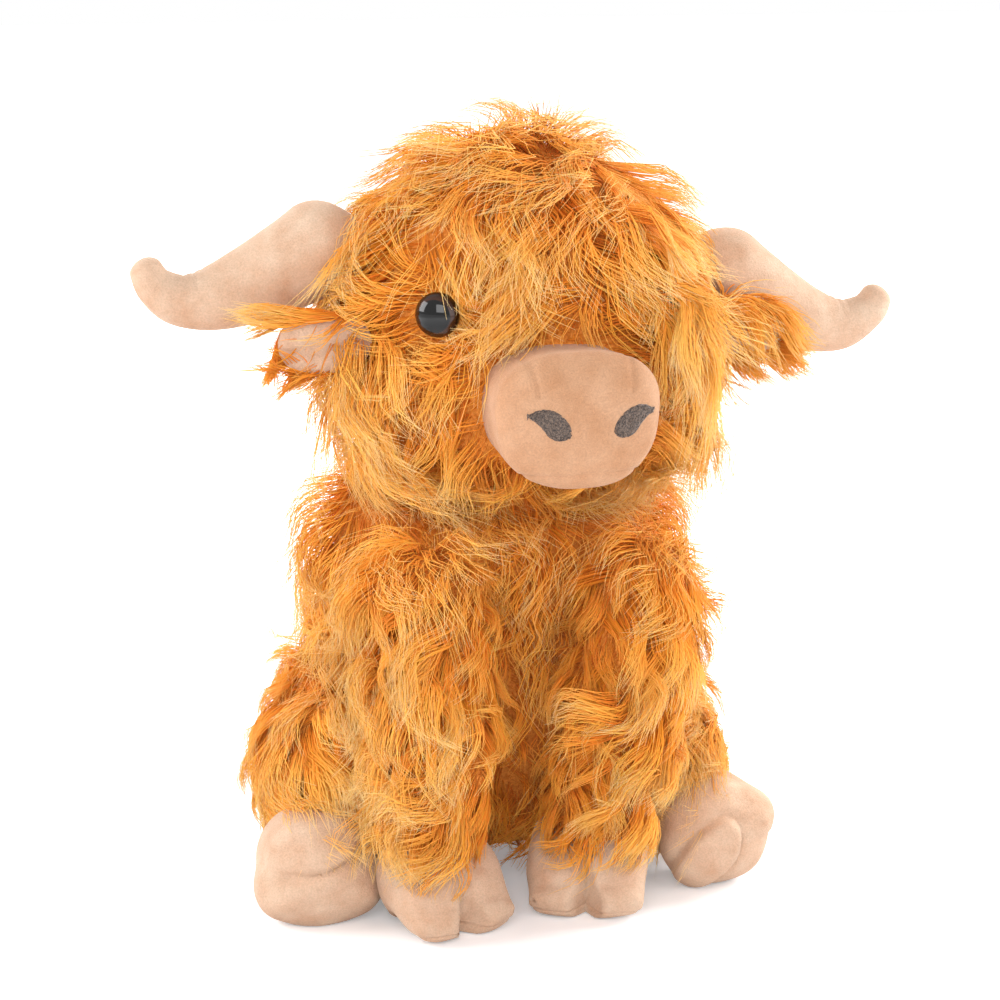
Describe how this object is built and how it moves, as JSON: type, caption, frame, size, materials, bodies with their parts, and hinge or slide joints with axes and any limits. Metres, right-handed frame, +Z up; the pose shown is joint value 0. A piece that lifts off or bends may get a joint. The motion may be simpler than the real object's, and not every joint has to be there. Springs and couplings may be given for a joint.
{
  "type": "plush cow",
  "caption": "Seated long-haired plush cow with turning head, flexing horns and ears, swinging front legs, lifting hind legs and a tail",
  "frame": {"origin": "middle of the flat that the seat rests on", "axes": "+Z up, the cow looks along -Y, its own left is +X"},
  "size_m": [0.291, 0.2202, 0.301],
  "materials": {
    "fur": "long wavy golden fur",
    "pile": "short tan pile",
    "filling": "loose polyester fibre",
    "bean_cloth": "plain woven bag filled with plastic pellets",
    "thread": "satin stitch",
    "eye_plastic": "polished, dark brown rim",
    "washer_plastic": "moulded"
  },
  "bodies": {
    "body": {"body_cover": "fur", "body_filling": "filling", "seat_bean_bag": "bean_cloth"},
    "neck": {"neck_filling": "filling"},
    "head": {"head_cover": "fur", "head_filling": "filling", "muzzle_cover": "pile", "muzzle_filling": "filling", "nostril_left": "thread", "nostril_right": "thread", "eye_left": "eye_plastic", "eye_right": "eye_plastic", "eye_washer_left": "washer_plastic", "eye_washer_right": "washer_plastic"},
    "horn_left": {"horn_cover_left": "pile", "horn_filling_left": "filling"},
    "horn_right": {"horn_cover_right": "pile", "horn_filling_right": "filling"},
    "ear_left": {"ear_cover_left": "fur", "ear_lining_left": "pile"},
    "ear_right": {"ear_cover_right": "fur", "ear_lining_right": "pile"},
    "front_leg_left": {"front_leg_cover_left": "fur", "front_hoof_cover_left": "pile", "front_leg_filling_left": "filling"},
    "front_leg_right": {"front_leg_cover_right": "fur", "front_hoof_cover_right": "pile", "front_leg_filling_right": "filling"},
    "hind_leg_left": {"hind_leg_cover_left": "fur", "hind_hoof_cover_left": "pile", "hind_leg_filling_left": "filling"},
    "hind_leg_right": {"hind_leg_cover_right": "fur", "hind_hoof_cover_right": "pile", "hind_leg_filling_right": "filling"},
    "tail": {"tail_cover": "fur", "tail_tuft": "fur"}
  },
  "joints": [
    {"name": "neck_turn", "type": "hinge", "parent": "body", "child": "neck", "pos_m": [0, -0.034, 0.174], "axis": [0, 0, 1], "range_deg": [-20, 20], "stiffness_Nm_per_rad": 1.2},
    {"name": "neck_nod", "type": "hinge", "parent": "neck", "child": "head", "pos_m": [0, -0.034, 0.174], "axis": [1, 0, 0], "range_deg": [-6, 8], "stiffness_Nm_per_rad": 1.2},
    {"name": "horn_left_flex", "type": "hinge", "parent": "head", "child": "horn_left", "pos_m": [0.07914, -0.05775, 0.242], "axis": [0, 1, 0], "range_deg": [-8, 8], "stiffness_Nm_per_rad": 0.3},
    {"name": "horn_right_flex", "type": "hinge", "parent": "head", "child": "horn_right", "pos_m": [-0.07631, -0.05775, 0.257], "axis": [0, -1, 0], "range_deg": [-8, 8], "stiffness_Nm_per_rad": 0.3},
    {"name": "ear_left_flop", "type": "hinge", "parent": "head", "child": "ear_left", "pos_m": [0.07249, -0.07975, 0.226], "axis": [0, 1, 0], "range_deg": [-5, 25], "stiffness_Nm_per_rad": 0.03},
    {"name": "ear_right_flop", "type": "hinge", "parent": "head", "child": "ear_right", "pos_m": [-0.07249, -0.07975, 0.226], "axis": [0, -1, 0], "range_deg": [-5, 25], "stiffness_Nm_per_rad": 0.03},
    {"name": "front_leg_left_swing", "type": "hinge", "parent": "body", "child": "front_leg_left", "pos_m": [0.041, -0.07988, 0.13003], "axis": [-1, 0, 0], "range_deg": [0, 35], "stiffness_Nm_per_rad": 0.3},
    {"name": "front_leg_right_swing", "type": "hinge", "parent": "body", "child": "front_leg_right", "pos_m": [-0.041, -0.07988, 0.13003], "axis": [-1, 0, 0], "range_deg": [0, 35], "stiffness_Nm_per_rad": 0.3},
    {"name": "hind_leg_left_lift", "type": "hinge", "parent": "body", "child": "hind_leg_left", "pos_m": [0.06021, 0.028, 0.03], "axis": [-1, 0, 0], "range_deg": [0, 15], "stiffness_Nm_per_rad": 0.3},
    {"name": "hind_leg_right_lift", "type": "hinge", "parent": "body", "child": "hind_leg_right", "pos_m": [-0.06021, 0.028, 0.03], "axis": [-1, 0, 0], "range_deg": [0, 15], "stiffness_Nm_per_rad": 0.3},
    {"name": "tail_swing", "type": "hinge", "parent": "body", "child": "tail", "pos_m": [0, 0.05751, 0.044], "axis": [0, 0, 1], "range_deg": [-25, 25], "stiffness_Nm_per_rad": 0.02}
  ]
}
